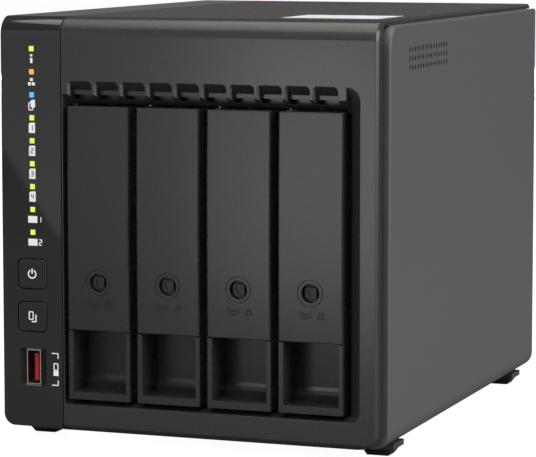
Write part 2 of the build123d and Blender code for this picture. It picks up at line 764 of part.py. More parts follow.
def video_sockets():
    """Two video sockets with a tapered mouth."""
    sockets = []
    for height in VIDEO_Z:
        outer = prism_y(taper_outline(-63.8, -58.0, height, 7.5, 5.6), (95.0, 107.9))
        inner = prism_y(taper_outline(-63.2, -58.6, height, 6.9, 5.1), (98.0, 109.0))
        tongue = block((-61.6, -60.4), (97.0, 107.0), (height - 5.4, height + 5.4))
        sockets.append(outer - inner + tongue)
    return sockets


def taper_outline(x0, x1, z, half_wide, half_narrow):
    bend = x0 + (x1 - x0) * 0.45
    return [
        (x0, z - half_narrow),
        (bend, z - half_wide),
        (x1, z - half_wide),
        (x1, z + half_wide),
        (bend, z + half_wide),
        (x0, z + half_narrow),
    ]


def power_inlet():
    """A round barrel socket with its centre pin."""
    inlet = block((-68.8, BOARD_X[0]), (92.0, 106.0), (INLET_Z - 5.5, INLET_Z + 5.5))
    inlet += rod_y(-63.4, INLET_Z, 5.1, (105.0, 108.2))
    inlet -= rod_y(-63.4, INLET_Z, 3.3, (96.0, 109.0))
    return inlet + rod_y(-63.4, INLET_Z, 1.2, (95.0, 107.0))


# ---- controls that move ----

def front_button(name):
    """A square key with the stem that presses its switch."""
    height = BUTTON_HEIGHTS[name]
    key = button_outline(0, height, (FRONT, FRONT + 2.2))
    key = fillet(key.faces().sort_by(Axis.Y)[0].edges(), 0.3)
    return key + rod_y(CONTROL_X, height, 1.8, (FRONT + 2.0, -104.3))


def reset_button():
    """The small rear plunger, with a collar that keeps it in."""
    plunger = rod_y(-63.4, RESET_Z, 1.35, (101.0, 107.3))
    return plunger + rod_y(-63.4, RESET_Z, 2.6, (101.0, 102.5))


# ---- fan ----

def fan_frame():
    """A square frame with a round duct and a motor mount on four rear struts."""
    half = FAN_SIZE / 2
    y = (FAN_FRONT, REAR_PANEL_Y[0])
    frame = plate_y((FAN_X - half, FAN_X + half), (FAN_Z - half, FAN_Z + half), y, (6.0,) * 4)
    waist = plate_y(
        (FAN_X - half - 1, FAN_X + half + 1), (FAN_Z - half - 1, FAN_Z + half + 1),
        (FAN_FRONT + 4.0, REAR_PANEL_Y[0] - 4.0), (6.0,) * 4
    )
    frame -= waist - rod_y(FAN_X, FAN_Z, FAN_BORE_RADIUS + 1.6, y)
    frame -= rod_y(FAN_X, FAN_Z, FAN_BORE_RADIUS, grown(y, 1))
    for x, z in fan_screw_places():
        frame -= rod_y(x, z, 2.15, grown(y, 1))
    frame += rod_y(FAN_X, FAN_Z, FAN_HUB_RADIUS + 2.0, (y[1] - 3.0, y[1]))
    for turn in range(4):
        strut = block((FAN_HUB_RADIUS, FAN_BORE_RADIUS + 0.8), (y[1] - 3.0, y[1]), (-2.0, 2.0))
        frame += Pos(FAN_X, 0, FAN_Z) * Rot(0, 45 + turn * 90, 0) * strut
    return frame


def fan_rotor():
    """The hub cup and its curved blades."""
    y = (FAN_FRONT + 1.0, FAN_FRONT + 20.5)
    hub = fillet(rod_y(0, 0, FAN_HUB_RADIUS, y).faces().sort_by(Axis.Y)[0].edges(), 2.0)
    blade = fan_blade(y)
    for index in range(FAN_BLADES):
        hub += Rot(0, index * 360 / FAN_BLADES, 0) * blade
    return Pos(FAN_X, 0, FAN_Z) * hub


def fan_blade(y):
    """One blade: a cambered strip, pushed out from the hub and trimmed to the duct."""
    low = y[0] + 1.0
    high = y[1] - 1.0
    middle = (low + high) / 2
    half = 11.0
    section = make_face(
        Wire([
            ThreePointArc((-half, high), (-1.5, middle + 1.5), (half, low)),
            Line((half, low), (half + 0.4, low + 1.4)),
            ThreePointArc((half + 0.4, low + 1.4), (-0.6, middle + 3.2), (-half + 0.9, high + 0.9)),
            Line((-half + 0.9, high + 0.9), (-half, high)),
        ])
    )
    strip = extrude(Plane.XY.offset(FAN_HUB_RADIUS - 4) * section, 42)
    return strip & (rod_y(0, 0, FAN_BORE_RADIUS - 1.5, y) - rod_y(0, 0, FAN_HUB_RADIUS - 3, grown(y, 1)))


def fan_grille():
    """A stamped finger guard: flat rings on diagonal spokes that end in screw eyes."""
    y = (REAR_PANEL_Y[1], REAR_PANEL_Y[1] + 0.8)
    guard = rod_y(FAN_X, FAN_Z, 10.0, y)
    for ring in range(7):
        radius = 16.0 + ring * 7.0
        guard += rod_y(FAN_X, FAN_Z, radius + 0.9, y) - rod_y(FAN_X, FAN_Z, radius - 0.9, grown(y, 1))
    reach = FAN_HOLE_SPACING / math.sqrt(2)
    for turn in range(4):
        spoke = block((8.0, reach), y, (-1.6, 1.6))
        guard += Pos(FAN_X, 0, FAN_Z) * Rot(0, 45 + turn * 90, 0) * spoke
    for x, z in fan_screw_places():
        guard += rod_y(x, z, 4.2, y)
    for x, z in fan_screw_places():
        guard -= rod_y(x, z, 2.3, grown(y, 1))
    return guard


# ---- trays ----

def tray_carrier(index):
    """The fixed part of a tray: finger pocket, front wall, two rails and a side web."""
    left = bay_left(index)
    right = left + TRAY_WIDTH
    middle = left + TRAY_WIDTH / 2
    face_back = TRAY_FACE_Y + 2.0
    pocket_back = POCKET_BACK + 1.8
    side_view = [
        (FRONT, TRAY_BOTTOM),
        (FRONT, SEAM_HEIGHT - 0.35),
        (TRAY_FACE_Y, SEAM_HEIGHT + 0.9),
        (TRAY_FACE_Y, TRAY_TOP),
        (face_back, TRAY_TOP),
        (face_back, 55.0),
        (pocket_back, 47.0),
        (pocket_back, TRAY_BOTTOM),
    ]
    carrier = prism_x(side_view, (left, right))
    carrier -= finger_pocket((left + 1.9, right - 1.7))
    for z in ((TRAY_BOTTOM, 24.9), (127.1, TRAY_TOP)):
        carrier += block((left, right), (pocket_back - 1.0, DRIVE_REAR), z)
    carrier += block((left + 2, right - 2), (face_back - 1.0, pocket_back), (127.1, TRAY_TOP))
    web = block((left, left + 1.0), (pocket_back - 1.0, DRIVE_REAR), (TRAY_BOTTOM, TRAY_TOP))
    for step in range(3):
        low = -80.0 + step * 46.0
        web -= plate_x((low, low + 38.0), (36.0, 116.0), (left - 1, left + 2), (6.0,) * 4)
    carrier += web
    groove_x = (middle - 2.3, middle + 2.3)
    groove_y = (-97.4, DRIVE_REAR + 1)
    carrier -= block(groove_x, groove_y, (TRAY_BOTTOM - 1, TRAY_BOTTOM + 1.8))
    carrier -= block(groove_x, groove_y, (TRAY_TOP - 1.8, TRAY_TOP + 1))
    for x in lug_spans(left, right):
        lug = rod_x(HINGE_Y, HINGE_Z, HINGE_LUG_RADIUS, x)
        lug += block(x, (HINGE_Y, TRAY_FACE_Y + 0.1), (HINGE_Z - 1.4, HINGE_Z + 1.4))
        carrier += lug - rod_x(HINGE_Y, HINGE_Z, HINGE_PIN_RADIUS + HINGE_CLEARANCE, grown(x, 1))
    return carrier + lock_catch(middle)


def finger_pocket(x):
    """The space in a tray front that fingers reach into, with a rounded corner at the back."""
    floor = TRAY_BOTTOM + 2.9
    bend = 5.0
    slant = bend * math.sqrt(0.5)
    outline = Wire([
        Line((FRONT - 1, floor), (POCKET_BACK - bend, floor)),
        ThreePointArc(
            (POCKET_BACK - bend, floor),
            (POCKET_BACK - bend + slant, floor + bend - slant),
            (POCKET_BACK, floor + bend),
        ),
        Line((POCKET_BACK, floor + bend), (POCKET_BACK, SEAM_HEIGHT)),
        Line((POCKET_BACK, SEAM_HEIGHT), (TRAY_FACE_Y, 52.5)),
        Line((TRAY_FACE_Y, 52.5), (FRONT - 1, 52.5)),
        Line((FRONT - 1, 52.5), (FRONT - 1, floor)),
    ])
    return extrude(Plane.YZ.offset(x[0]) * make_face(outline), x[1] - x[0])


def lug_spans(left, right):
    return ((left + 3.2, left + 5.2), (right - 5.2, right - 3.2))


def lock_catch(middle):
    """The hooked post that the lock's tongue turns behind."""
    catch = block((middle + 7.2, middle + 9.2), (-105.2, TRAY_FACE_Y + 0.1), (LOCK_Z - 3.5, LOCK_Z + 3.5))
    return catch + block((middle + 4.9, middle + 7.3), (-105.2, -104.1), (LOCK_Z - 3.5, LOCK_Z + 3.5))


def tray_handle(index):
    """The hinged cover of a tray, pulled out by its lower edge."""
    left = bay_left(index)
    right = left + TRAY_WIDTH
    middle = left + TRAY_WIDTH / 2
    back = FRONT + HANDLE_WALL
    handle = bowed_plate((left, right), back)
    handle = fillet(handle.faces().sort_by(Axis.Y)[0].edges(), 0.45)
    side_view = [
        (FRONT + 0.8, SEAM_HEIGHT),
        (HANDLE_BACK, SEAM_HEIGHT + 1.1),
        (HANDLE_BACK, TRAY_TOP - 0.6),
        (FRONT + 0.8, TRAY_TOP - 0.6),
    ]
    for x in ((left, left + HANDLE_WALL), (right - HANDLE_WALL, right)):
        handle += prism_x(side_view, x)
    for x in ((left + 1.5, left + 5.5), (right - 5.5, right - 1.5)):
        handle += rod_x(HINGE_Y, HINGE_Z, HINGE_PIN_RADIUS, x)
    for z in (52.0, 84.0, 118.0):
        handle += block((left + 1.5, right - 1.5), (back - 0.1, -103.4), (z - 0.6, z + 0.6))
    handle += rod_y(middle, LOCK_Z, 4.8, (back - 0.1, -104.2))
    handle -= rod_y(middle, LOCK_Z, LOCK_BORE_RADIUS, (FRONT - 2, -103.0))
    ring = rod_y(middle, LOCK_Z, 5.3, (FRONT - 2, FRONT - 0.35))
    return handle - (ring - rod_y(middle, LOCK_Z, 4.95, (FRONT - 3, FRONT + 1)))


def bowed_plate(x, back):
    """The front plate of a handle: seen from the side its face bulges out a little."""
    top = (FRONT, TRAY_TOP)
    bottom = (FRONT - BOW_AT_SEAM, SEAM_HEIGHT)
    outline = Wire([
        ThreePointArc(top, (FRONT - HANDLE_BOW, BOW_PEAK_Z), bottom),
        Line(bottom, (back, SEAM_HEIGHT)),
        Line((back, SEAM_HEIGHT), (back, TRAY_TOP)),
        Line((back, TRAY_TOP), top),
    ])
    return extrude(Plane.YZ.offset(x[0]) * make_face(outline), x[1] - x[0])


def tray_lock(index):
    """A turning lock: square key piece in front, round barrel and a tongue behind."""
    middle = bay_left(index) + TRAY_WIDTH / 2
    z = LOCK_Z
    lock = rod_y(middle, z, LOCK_BORE_RADIUS - 0.05, (FRONT + 2.0, -103.6))
    half = 2.3
    face = FRONT + 0.3
    lock += plate_y((middle - half, middle + half), (z - half, z + half), (face, FRONT + 2.1), (1.0,) * 4)
    groove_y = (face - 1, face + 0.35)
    lock -= block((middle - 1.3, middle - 0.95), groove_y, (z - 0.4, z + 1.5))
    lock -= block((middle - 1.3, middle - 0.2), groove_y, (z - 0.6, z - 0.25))
    lock -= block((middle - 0.55, middle - 0.2), groove_y, (z - 1.6, z - 0.4))
    return lock + block((middle - 1.5, middle + 1.5), (-103.7, -102.5), (z - 2.0, z + 6.5))


# ---- hard drives ----

def drive_casting(index):
    """The cast base of a hard drive, with its screw holes and socket notch."""
    left = bay_left(index)
    middle_z = (TRAY_BOTTOM + 0.1 + TRAY_TOP) / 2
    z = (middle_z - DRIVE_WIDTH / 2, middle_z + DRIVE_WIDTH / 2)
    casting = plate_x((DRIVE_FRONT, DRIVE_REAR), z, (left + 3.0, left + 25.9), (3.0,) * 4)
    casting -= plate_x((DRIVE_FRONT + 8, DRIVE_REAR - 45), grown(z, -9), (left + 2, left + 6.0), (8.0,) * 4)
    casting -= block((left + 2.0, left + 16.5), (DRIVE_REAR - 6.0, DRIVE_REAR + 1), (39.5, 86.5))
    for y in (DRIVE_FRONT + 28.5, DRIVE_FRONT + 70.0, DRIVE_FRONT + 130.0):
        for end in (z[0] - 1, z[1] - 4):
            casting -= Pos(left + 9.3, y, end) * Cylinder(1.5, 5, align=(Align.CENTER, Align.CENTER, Align.MIN))
    return casting


def drive_cover(index):
    """The stamped lid of a hard drive, with a raised round over the disks."""
    left = bay_left(index)
    middle_z = (TRAY_BOTTOM + TRAY_TOP) / 2
    x = (left + 25.9, left + 26.8)
    lid = plate_x((DRIVE_FRONT + 1.5, DRIVE_REAR - 1.5), (middle_z - 49.3, middle_z + 49.3), x, (5.0,) * 4)
    lid += rod_x(DRIVE_FRONT + 54.0, middle_z, 44.0, (x[1] - 0.1, left + 27.3))
    for y in (DRIVE_FRONT + 6.5, DRIVE_REAR - 6.5):
        for z in (middle_z - 44.5, middle_z + 44.5):
            lid += rod_x(y, z, 2.2, (x[1] - 0.1, left + 27.2))
    return lid


def drive_board(index):
    """The controller board on the other face of a hard drive, with its socket block."""
    left = bay_left(index)
    board = block((left + 1.5, left + 3.0), (DRIVE_REAR - 42.0, DRIVE_REAR - 1.0), (32.0, 120.0))
    plug = block((left + 2.9, left + 15.8), (DRIVE_REAR - 5.5, DRIVE_REAR - 1.0), (41.0, 85.0))
    return board + plug


if __name__ == "__main__":
    os.makedirs("parts", exist_ok=True)
    write("front_top_shell", front_top_shell())
    write("indicator_panel", indicator_panel())
    write("right_side_panel", side_panel(1))
    write("left_side_panel", side_panel(-1))
    write("top_label", label_plate(0))
    write("base_plate", base_plate())
    write("foot_brackets", *[foot_bracket(side, middle) for side, middle in foot_corners()])
    write("rubber_feet", *[rubber_foot(side, middle) for side, middle in foot_corners()])
    write("drive_cage", drive_cage())
    write("guide_rails", *guide_rails())
    write("rear_panel", rear_panel())
    write("case_screws", *[pan_screw(x, z, REAR_PANEL_Y[1], 1.5, 2.9, 6.0) for x, z in case_screw_places()])
    write("mainboard", mainboard())
    write("board_standoffs", *board_standoffs())
    write("heat_sink", heat_sink())
    write("memory_modules", *memory_modules())
    write("ssd_modules", *ssd_modules())
    write("backplane_board", backplane_board())
    write("backplane_sockets", *backplane_sockets())
    write("indicator_board", indicator_board())
    write("light_pipes", *light_pipes())
    write("front_usb_shell", front_usb_shell())
    write("front_usb_tongue", front_usb_tongue())
    write("front_usb_riser", front_usb_riser())
    write("rear_usb_shells", *rear_usb_shells())
    write("rear_usb_tongues", *rear_usb_tongues())
    write("network_jacks", *network_jacks())
    write("video_sockets", *video_sockets())
    write("power_inlet", power_inlet())
    write("reset_button", reset_button())
    write("fan_frame", fan_frame())
    write("fan_rotor", fan_rotor())
    write("fan_grille", fan_grille())
    write("fan_screws", *[pan_screw(x, z, REAR_PANEL_Y[1] + 0.8, 2.1, 3.6, 9.0) for x, z in fan_screw_places()])
    for button in BUTTON_HEIGHTS:
        write(button, front_button(button))
    for bay in range(BAY_COUNT):
        write(f"tray_{bay + 1}_carrier", tray_carrier(bay))
        write(f"tray_{bay + 1}_handle", tray_handle(bay))
        write(f"tray_{bay + 1}_lock", tray_lock(bay))
        write(f"drive_{bay + 1}_casting", drive_casting(bay))
        write(f"drive_{bay + 1}_cover", drive_cover(bay))
        write(f"drive_{bay + 1}_board", drive_board(bay))
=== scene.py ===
import math

import bmesh
import bpy
from mathutils import Euler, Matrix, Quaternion, Vector


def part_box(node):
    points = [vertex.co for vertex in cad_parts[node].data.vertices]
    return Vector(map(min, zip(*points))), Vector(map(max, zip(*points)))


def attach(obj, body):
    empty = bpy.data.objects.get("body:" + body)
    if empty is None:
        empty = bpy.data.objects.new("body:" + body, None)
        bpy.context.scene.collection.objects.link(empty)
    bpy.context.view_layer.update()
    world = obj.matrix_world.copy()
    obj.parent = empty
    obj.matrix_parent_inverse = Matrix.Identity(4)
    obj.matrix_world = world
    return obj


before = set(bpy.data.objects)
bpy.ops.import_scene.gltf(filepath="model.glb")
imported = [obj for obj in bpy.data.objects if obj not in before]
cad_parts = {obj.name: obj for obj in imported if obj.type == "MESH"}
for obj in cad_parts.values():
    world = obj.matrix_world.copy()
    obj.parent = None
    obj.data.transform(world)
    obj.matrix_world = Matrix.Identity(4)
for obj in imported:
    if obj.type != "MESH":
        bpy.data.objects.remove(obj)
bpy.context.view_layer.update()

MM = 0.001
SCENE = bpy.context.scene
BAYS = (1, 2, 3, 4)
LIGHT_COUNT = 9


# ---- node helpers ----

class Nodes:
    """Short ways to add the nodes of one tree and to join them."""

    def __init__(self, tree):
        self.tree = tree

    def add(self, kind, **settings):
        """A new node of one kind, such as Math, with its settings."""
        node = self.tree.nodes.new("ShaderNode" + kind)
        for name, value in settings.items():
            setattr(node, name, value)
        return node

    def feed(self, target, value):
        """Joins an output to an input, or sets the input where the value is a plain number or colour."""
        if isinstance(value, bpy.types.NodeSocket):
            self.tree.links.new(value, target)
        else:
            target.default_value = value

    def calculate(self, operation, *terms):
        """The result of one sum or comparison, whose terms are outputs or plain numbers."""
        node = self.add("Math", operation=operation)
        for socket, term in zip(node.inputs, terms):
            self.feed(socket, term)
        return node.outputs["Value"]

    def mix(self, share, first, second):
        """The first colour where share is 0, and the second where it is 1."""
        node = self.add("Mix", data_type="RGBA")
        self.feed(node.inputs["Factor"], share)
        self.feed(node.inputs["A"], first)
        self.feed(node.inputs["B"], second)
        return node.outputs["Result"]

    def seen_by_camera(self):
        """1 for what the camera sees directly, and 0 for the light that falls on the box."""
        return self.add("LightPath").outputs["Is Camera Ray"]


class Recipe(Nodes):
    """A new material, with the finishes' shared ways to vary its colour, roughness and relief."""

    def __init__(self, name, roughness=0.5, metallic=0.0):
        self.material = bpy.data.materials.new(name)
        self.material.use_nodes = True
        super().__init__(self.material.node_tree)
        self.shader = self.tree.nodes["Principled BSDF"]
        self.place = self.add("TexCoord").outputs["Object"]
        self.set("Roughness", roughness)
        self.set("Metallic", metallic)

    def set(self, name, value):
        """Feeds one of the shader's own inputs."""
        self.feed(self.shader.inputs[name], value)

    def along(self, axis):
        """Where a point lies along X, Y or Z, in metres."""
        split = self.add("SeparateXYZ")
        self.feed(split.inputs["Vector"], self.place)
        return split.outputs[axis]

    def noise(self, size_mm, detail=2.0, stretch=(1, 1, 1)):
        """A noise whose bumps are about size_mm across, longer along the axes with a small stretch."""
        stretched = self.add("Mapping")
        self.feed(stretched.inputs["Vector"], self.place)
        self.feed(stretched.inputs["Scale"], stretch)
        node = self.add("TexNoise")
        self.feed(node.inputs["Vector"], stretched.outputs["Vector"])
        self.feed(node.inputs["Scale"], 1 / (size_mm * MM))
        self.feed(node.inputs["Detail"], detail)
        return node.outputs["Fac"]

    def ramp(self, value, low, high, low_colour, high_colour):
        """A colour that goes from low_colour to high_colour while value goes from low to high."""
        node = self.add("ValToRGB")
        for stop, position, colour in zip(node.color_ramp.elements, (low, high), (low_colour, high_colour)):
            stop.position = position
            stop.color = (*colour, 1)
        self.feed(node.inputs["Fac"], value)
        return node.outputs["Color"]

    def wander(self, name, value, low_colour, high_colour):
        """Lets an input of the shader follow a noise, whose values lie mostly between 0.3 and 0.7."""
        self.set(name, self.ramp(value, 0.3, 0.7, low_colour, high_colour))

    def tint(self, value, colour, spread):
        """Base colour that wanders by a share of spread either side of colour."""
        self.wander("Base Color", value, scaled(colour, 1 - spread), scaled(colour, 1 + spread))

    def wear(self, value, low, high):
        """Roughness that wanders between two values."""
        self.wander("Roughness", value, grey(low), grey(high))

    def bump(self, value, depth_mm, strength=1.0, edge_mm=0.0):
        """Relief of the given depth, over edges that are softened by edge_mm."""
        node = self.add("Bump")
        self.feed(node.inputs["Strength"], strength)
        self.feed(node.inputs["Distance"], depth_mm * MM)
        self.feed(node.inputs["Height"], value)
        if edge_mm:
            edge = self.add("Bevel")
            self.feed(edge.inputs["Radius"], edge_mm * MM)
            self.feed(node.inputs["Normal"], edge.outputs["Normal"])
        self.set("Normal", node.outputs["Normal"])


def grey(level):
    """A colour with the same level in all three channels."""
    return (level, level, level)


def scaled(colour, share):
    """A colour with each channel multiplied by share."""
    return tuple(channel * share for channel in colour)


# ---- materials ----

def moulded_plastic(name, colour, roughness, shine=0.5):
    """Matt moulded plastic with a fine spark-eroded grain."""
    recipe = Recipe(name)
    recipe.tint(recipe.noise(0.8, 3.0), colour, 0.08)
    recipe.wear(recipe.noise(0.9, 3.0), roughness - 0.015, roughness + 0.015)
    recipe.bump(recipe.noise(0.45, 3.0), depth_mm=0.0015, edge_mm=0.25)
    recipe.set("Specular IOR Level", shine)
    return recipe.material


def polished_plastic(name, colour, roughness=0.035):
    """Gloss plastic: nearly smooth, with faint ripples left by the mould."""
    recipe = Recipe(name)
    recipe.tint(recipe.noise(30.0), colour, 0.03)
    recipe.wear(recipe.noise(2.0, 3.0), roughness * 0.85, roughness * 1.2)
    recipe.bump(recipe.noise(25.0, 1.0), depth_mm=0.002, strength=0.4, edge_mm=0.2)
    recipe.set("IOR", 1.5)
    return recipe.material


def tongue_plastic(name, colour, front):
    """Coloured plastic with painted shade: it darkens in the depth of a socket, behind y = front."""
    recipe = Recipe(name)
    # Painted shade: the colour falls to 8% between 4 mm and 9 mm behind the socket's front.
    depth = recipe.add("MapRange")
    recipe.feed(depth.inputs["Value"], recipe.along("Y"))
    recipe.feed(depth.inputs["From Min"], front + 4 * MM)
    recipe.feed(depth.inputs["From Max"], front + 9 * MM)
    recipe.set("Base Color", recipe.ramp(depth.outputs["Result"], 0.0, 1.0, colour, scaled(colour, 0.08)))
    recipe.wear(recipe.noise(1.0, 3.0), 0.25, 0.35)
    return recipe.material


def painted_steel(name, colour, roughness):
    """The recipe of painted sheet steel with a very fine orange peel."""
    recipe = Recipe(name)
    recipe.tint(recipe.noise(0.9, 3.0), colour, 0.04)
    recipe.wear(recipe.noise(1.2, 3.0), roughness - 0.02, roughness + 0.02)
    recipe.bump(recipe.noise(0.5), depth_mm=0.005, edge_mm=0.2)
    return recipe


def powder_coat(name, colour, roughness=0.5):
    """Painted sheet steel, plain all over."""
    return painted_steel(name, colour, roughness).material


# The painted shade in the slots, and how far from the outer face, the bends and the top edge it starts.
SLOT_SHADE = grey(0.006)
PAINT_SKIN = 0.05 * MM
BEND_MARGIN = 10 * MM
TOP_MARGIN = 4 * MM


def slotted_panel(name, colour, roughness=0.5):
    """Painted sheet steel whose air slots get painted shade: dark below the outer face, clear of the folded
    edges.
    """
    recipe = painted_steel(name, colour, roughness)
    paint_colour = recipe.shader.inputs["Base Color"].links[0].from_socket
    low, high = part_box("right_side_panel")
    from_middle = recipe.calculate("ABSOLUTE", recipe.along("X"))
    painted_shade_mask = recipe.calculate("LESS_THAN", from_middle, high.x - PAINT_SKIN)
    for axis, operation, limit in (
        ("Y", "GREATER_THAN", low.y + BEND_MARGIN),
        ("Z", "GREATER_THAN", low.z + BEND_MARGIN),
        ("Z", "LESS_THAN", high.z - TOP_MARGIN),
    ):
        clear_of_edge = recipe.calculate(operation, recipe.along(axis), limit)
        painted_shade_mask = recipe.calculate("MULTIPLY", painted_shade_mask, clear_of_edge)
    # Painted shade: below the outer face the paint colour gives way to SLOT_SHADE.
    recipe.set("Base Color", recipe.mix(painted_shade_mask, paint_colour, (*SLOT_SHADE, 1)))
    return recipe.material


ROLLED_GRAIN = (0.05, 1, 1)


def plated_steel(name, colour, roughness):
    """Plated sheet metal with a faint rolled grain."""
    recipe = Recipe(name, metallic=1.0)
    recipe.tint(recipe.noise(4.0, 4.0), colour, 0.12)
    recipe.wear(recipe.noise(1.2, 4.0, ROLLED_GRAIN), roughness - 0.08, roughness + 0.1)
    recipe.bump(recipe.noise(0.4, 2.0, ROLLED_GRAIN), depth_mm=0.004, strength=0.6, edge_mm=0.15)
    return recipe.material


def cast_metal(name, colour):
    """Die-cast aluminium with its fine skin."""
    recipe = Recipe(name, metallic=0.85)
    recipe.tint(recipe.noise(2.5, 5.0), colour, 0.15)
    recipe.wear(recipe.noise(1.5, 4.0), 0.42, 0.62)
    recipe.bump(recipe.noise(0.5, 4.0), depth_mm=0.02, strength=0.8, edge_mm=0.3)
    return recipe.material


def soft_rubber(name, colour):
    """Matt rubber with a rough skin."""
    recipe = Recipe(name)
    recipe.tint(recipe.noise(0.8, 4.0), colour, 0.2)
    recipe.wear(recipe.noise(3.0, 3.0), 0.68, 0.85)
    recipe.bump(recipe.noise(0.6, 3.0), depth_mm=0.03, edge_mm=0.3)
    return recipe.material


TRACKS_PER_METRE = 90


def circuit_board(name, mask, copper):
    """Solder resist over copper tracks, which show as a slightly lighter net of lines."""
    recipe = Recipe(name)
    turned = recipe.add("Mapping")
    recipe.feed(turned.inputs["Vector"], recipe.place)
    recipe.feed(turned.inputs["Rotation"], (math.radians(90), 0, math.radians(90)))
    tracks = recipe.add("TexBrick")
    recipe.feed(tracks.inputs["Vector"], turned.outputs["Vector"])
    recipe.feed(tracks.inputs["Scale"], TRACKS_PER_METRE)
    recipe.feed(tracks.inputs["Mortar Size"], 0.03)
    recipe.feed(tracks.inputs["Color1"], (*mask, 1))
    recipe.feed(tracks.inputs["Color2"], (*scaled(mask, 0.8), 1))
    recipe.feed(tracks.inputs["Mortar"], (*copper, 1))
    recipe.set("Base Color", tracks.outputs["Color"])
    recipe.wear(recipe.noise(2.0), 0.25, 0.4)
    recipe.bump(tracks.outputs["Fac"], depth_mm=0.02, strength=0.5)
    return recipe.material


def printed_ink(name, colour, roughness=0.45, glow=0.0):
    """Screen-printed ink, a little uneven, whose glow, where it is above 0, is painted light that brightens
    it.
    """
    recipe = Recipe(name)
    recipe.tint(recipe.noise(0.6, 3.0), colour, 0.05)
    recipe.wear(recipe.noise(0.8), roughness - 0.05, roughness + 0.1)
    # Painted light: the ink glows in its own colour by the given glow.
    recipe.set("Emission Color", (*colour, 1))
    recipe.set("Emission Strength", glow)
    return recipe.material


def sticker_film(name, colour):
    """Smooth film with a slight waviness from the glue below it."""
    recipe = Recipe(name)
    recipe.tint(recipe.noise(8.0), colour, 0.02)
    recipe.wear(recipe.noise(5.0), 0.3, 0.42)
    recipe.bump(recipe.noise(6.0), depth_mm=0.01, strength=0.4)
    return recipe.material


LIGHT_GREEN = (0.6, 0.86, 0.105)
LIGHT_ORANGE = (0.94, 0.39, 0.042)
LIGHT_BLUE = (0.09, 0.45, 1.0)
LIGHT_GLOW = 0.55


def light_row():
    """The row of light windows, in mm: its x, the height of the top window's middle, and the pitch."""
    low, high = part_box("light_pipes")
    size = high.x - low.x
    pitch = (high.z - low.z - size) / (LIGHT_COUNT - 1)
    return (low.x + high.x) / 2 / MM, (high.z - size / 2) / MM, pitch / MM


def lit_windows(name):
    """The light pipes: green, but the second from the top orange and the third blue."""
    recipe = Recipe(name, roughness=0.35)
    _, top, pitch = light_row()
    colour = (*LIGHT_GREEN, 1)
    for index, next_colour in enumerate((LIGHT_ORANGE, LIGHT_BLUE, LIGHT_GREEN)):
        limit = (top - (index + 0.5) * pitch) * MM
        below = recipe.calculate("LESS_THAN", recipe.along("Z"), limit)
        colour = recipe.mix(below, colour, (*next_colour, 1))
    recipe.set("Base Color", colour)
    recipe.set("Emission Color", colour)
    recipe.set("Emission Strength", LIGHT_GLOW)
    return recipe.material


# ---- finishes of the CAD nodes ----

def paint(material, *nodes):
    """Gives each of the CAD nodes that are named one material all over."""
    for node in nodes:
        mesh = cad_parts[node].data
        mesh.materials.clear()
        mesh.materials.append(material)


def in_each_bay(pattern):
    """The names of a part that each bay has, such as tray_{}_lock."""
    return [pattern.format(bay) for bay in BAYS]


def paint_plastics():
    case = moulded_plastic("case_plastic", (0.038, 0.034, 0.030), 0.26)
    tray = moulded_plastic("tray_plastic", (0.031, 0.0275, 0.024), 0.27, shine=0.41)
    black = moulded_plastic("black_plastic", grey(0.012), 0.45)
    red = tongue_plastic("red_plastic", (0.62, 0.015, 0.03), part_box("front_usb_tongue")[0].y)
    paint(case, "front_top_shell", "foot_brackets")
    paint(tray, *in_each_bay("tray_{}_carrier"), *in_each_bay("tray_{}_handle"))
    paint(polished_plastic("gloss_black", grey(0.022)), "indicator_panel", "power_button", "copy_button")
    paint(black, *in_each_bay("tray_{}_lock"), "reset_button", "fan_frame", "guide_rails")
    paint(black, "backplane_sockets", "front_usb_riser", "network_jacks", "power_inlet")
    paint(moulded_plastic("rotor_plastic", grey(0.02), 0.35), "fan_rotor")
    paint(red, "front_usb_tongue")
    paint(polished_plastic("blue_plastic", (0.01, 0.09, 0.45), 0.3), "rear_usb_tongues")
    paint(soft_rubber("foot_rubber", grey(0.02)), "rubber_feet")
    paint(sticker_film("white_film", (0.82, 0.86, 0.9)), "top_label")
    paint(lit_windows("lit_windows"), "light_pipes")


def paint_metals():
    panel_colour = (0.085, 0.085, 0.084)
    screw_colour = (0.06, 0.06, 0.062)
    slotted = slotted_panel("slotted_panel_paint", panel_colour)
    nickel = plated_steel("nickel_plate", (0.72, 0.71, 0.69), 0.22)
    paint(slotted, "left_side_panel", "right_side_panel")
    paint(powder_coat("panel_paint", panel_colour), "rear_panel")
    paint(powder_coat("black_paint", grey(0.012)), "base_plate")
    paint(powder_coat("grille_paint", grey(0.015), 0.4), "fan_grille")
    paint(plated_steel("zinc_plate", (0.45, 0.46, 0.47), 0.36), "drive_cage")
    paint(plated_steel("black_screw", screw_colour, 0.35), "case_screws")
    paint(plated_steel("fan_screw", screw_colour, 0.35), "fan_screws")
    paint(plated_steel("brass", (0.62, 0.44, 0.18), 0.3), "board_standoffs")
    paint(plated_steel("heat_sink", (0.6, 0.61, 0.62), 0.38), "heat_sink")
    paint(nickel, "front_usb_shell", "rear_usb_shells", "video_sockets")
    paint(cast_metal("drive_cast", (0.3, 0.31, 0.32)), *in_each_bay("drive_{}_casting"))
    paint(plated_steel("drive_lid", (0.62, 0.63, 0.64), 0.28), *in_each_bay("drive_{}_cover"))


def paint_boards():
    board = circuit_board("green_board", (0.006, 0.045, 0.018), (0.02, 0.11, 0.04))
    card = circuit_board("blue_board", (0.004, 0.02, 0.05), (0.01, 0.05, 0.1))
    paint(board, "mainboard", "backplane_board", "indicator_board", *in_each_bay("drive_{}_board"))
    paint(card, "memory_modules", "ssd_modules")


# ---- printed marks: every stroke is a list of (x, z) corners in mm, seen from the front ----

INK_DEPTH = 0.05


